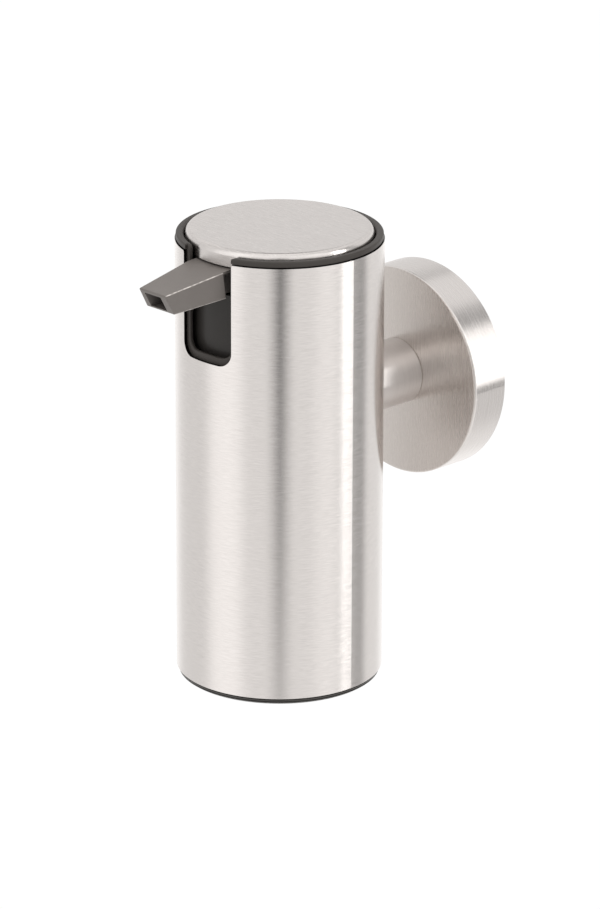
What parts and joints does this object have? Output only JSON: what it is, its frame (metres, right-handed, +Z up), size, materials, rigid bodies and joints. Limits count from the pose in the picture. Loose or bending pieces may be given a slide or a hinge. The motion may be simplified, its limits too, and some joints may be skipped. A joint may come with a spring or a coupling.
{
  "type": "wall mounted soap dispenser",
  "caption": "Wall mounted pump dispenser for liquid soap: a brushed steel cylinder on a round wall rosette, with a push cap, a short spout in a notch and a lift-out container.",
  "frame": {"origin": "centre of the mounting plate's back face, on the wall, in line with the arm", "axes": "+Y points into the wall, -Y out of it towards the spout, +Z up, +X to the right of a viewer who faces the wall"},
  "size_m": [0.0626, 0.1107, 0.1355],
  "materials": {
    "brushed_steel": "fine satin brushing, round the cylinder and straight on the cap and the rosette",
    "dark_plastic": "satin moulded, warm dark grey",
    "container_plastic": "smooth moulded, dark grey",
    "pump_plastic": "natural white moulded",
    "soft_seal": "soft matt elastomer",
    "zinc_casting": "fine as-cast grey",
    "screw_steel": "bright drawn stainless"
  },
  "bodies": {
    "holder": {"wall_rosette": "brushed_steel", "wall_bracket": "zinc_casting", "grub_screw": "screw_steel", "arm": "brushed_steel", "rosette_screw": "screw_steel", "lock_washer": "screw_steel", "sleeve_screw": "screw_steel", "saddle_plate": "screw_steel", "outer_sleeve": "brushed_steel", "base_cap": "dark_plastic", "collar_liner": "dark_plastic"},
    "container": {"soap_container": "container_plastic"},
    "pump": {"closure_ring": "pump_plastic", "neck_gasket": "soft_seal", "pump_barrel": "pump_plastic", "stem_guide": "pump_plastic", "dip_tube": "pump_plastic", "ball_cage": "pump_plastic", "return_spring": "screw_steel"},
    "push_head": {"push_cap": "brushed_steel", "head_carrier": "dark_plastic", "spout": "dark_plastic", "pump_stem": "pump_plastic", "piston": "soft_seal"},
    "inlet_ball": {"inlet_ball": "screw_steel"},
    "outlet_ball": {"outlet_ball": "screw_steel"}
  },
  "joints": [
    {"name": "container_lift", "type": "slide", "parent": "holder", "child": "container", "axis": [0, 0, 1], "range_m": [0, 0.14]},
    {"name": "pump_lift", "type": "slide", "parent": "container", "child": "pump", "axis": [0, 0, 1], "range_m": [0, 0.1]},
    {"name": "pump_press", "type": "slide", "parent": "pump", "child": "push_head", "axis": [0, 0, -1], "range_m": [0, 0.013], "stiffness_N_per_m": 600, "springref_m": -0.012, "deforming": ["return_spring"]},
    {"name": "inlet_check", "type": "slide", "parent": "pump", "child": "inlet_ball", "axis": [0, 0, 1], "range_m": [0, 0.0015]},
    {"name": "outlet_check", "type": "slide", "parent": "push_head", "child": "outlet_ball", "axis": [0, 0, 1], "range_m": [0, 0.0015]}
  ]
}
